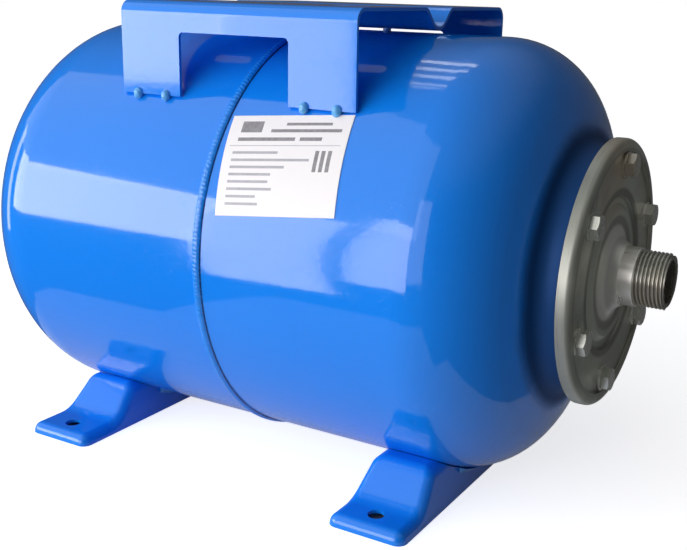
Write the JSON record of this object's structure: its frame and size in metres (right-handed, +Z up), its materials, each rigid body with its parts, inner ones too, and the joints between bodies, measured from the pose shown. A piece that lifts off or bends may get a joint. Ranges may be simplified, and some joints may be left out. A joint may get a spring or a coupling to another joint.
{
  "type": "well pressure tank",
  "caption": "Horizontal membrane pressure tank for a well pump, on two pressed feet, with a bent pump platform on top, a bolted inlet flange with a threaded stub and an air valve.",
  "frame": {"origin": "on the floor under the tank's axis, midway between the cap of the air valve and the end of the inlet stub", "axes": "+X along the tank's axis towards the inlet flange, +Z up, -Y towards the side with the label"},
  "size_m": [0.4614, 0.2686, 0.2859],
  "materials": {
    "blue_paint": "glossy powder coat",
    "zinc_steel": "zinc plated",
    "black_rubber": "matte",
    "brass": "turned",
    "black_plastic": "moulded",
    "label_film": "printed film"
  },
  "bodies": {
    "tank": {"rear_shell": "blue_paint", "front_shell": "blue_paint", "girth_weld": "blue_paint", "counter_flange": "zinc_steel", "membrane": "black_rubber", "inlet_flange": "zinc_steel", "inlet_nozzle": "zinc_steel", "flange_bolt_1": "zinc_steel", "flange_bolt_2": "zinc_steel", "flange_bolt_3": "zinc_steel", "flange_bolt_4": "zinc_steel", "flange_bolt_5": "zinc_steel", "flange_bolt_6": "zinc_steel", "valve_boss": "blue_paint", "valve_seal": "black_rubber", "valve_stem": "brass", "valve_core": "brass", "rear_foot": "blue_paint", "front_foot": "blue_paint", "rear_foot_welds": "blue_paint", "front_foot_welds": "blue_paint", "pump_platform": "blue_paint", "platform_welds": "blue_paint", "data_label": "label_film"},
    "valve_cap": {"valve_cap": "black_plastic"},
    "valve_pin": {"valve_pin": "brass"}
  },
  "joints": [
    {"name": "cap_lift", "type": "slide", "parent": "tank", "child": "valve_cap", "axis": [-1, 0, 0], "range_m": [0, 0.012]},
    {"name": "pin_press", "type": "slide", "parent": "tank", "child": "valve_pin", "axis": [1, 0, 0], "range_m": [0, 0.0012], "stiffness_N_per_m": 500}
  ]
}
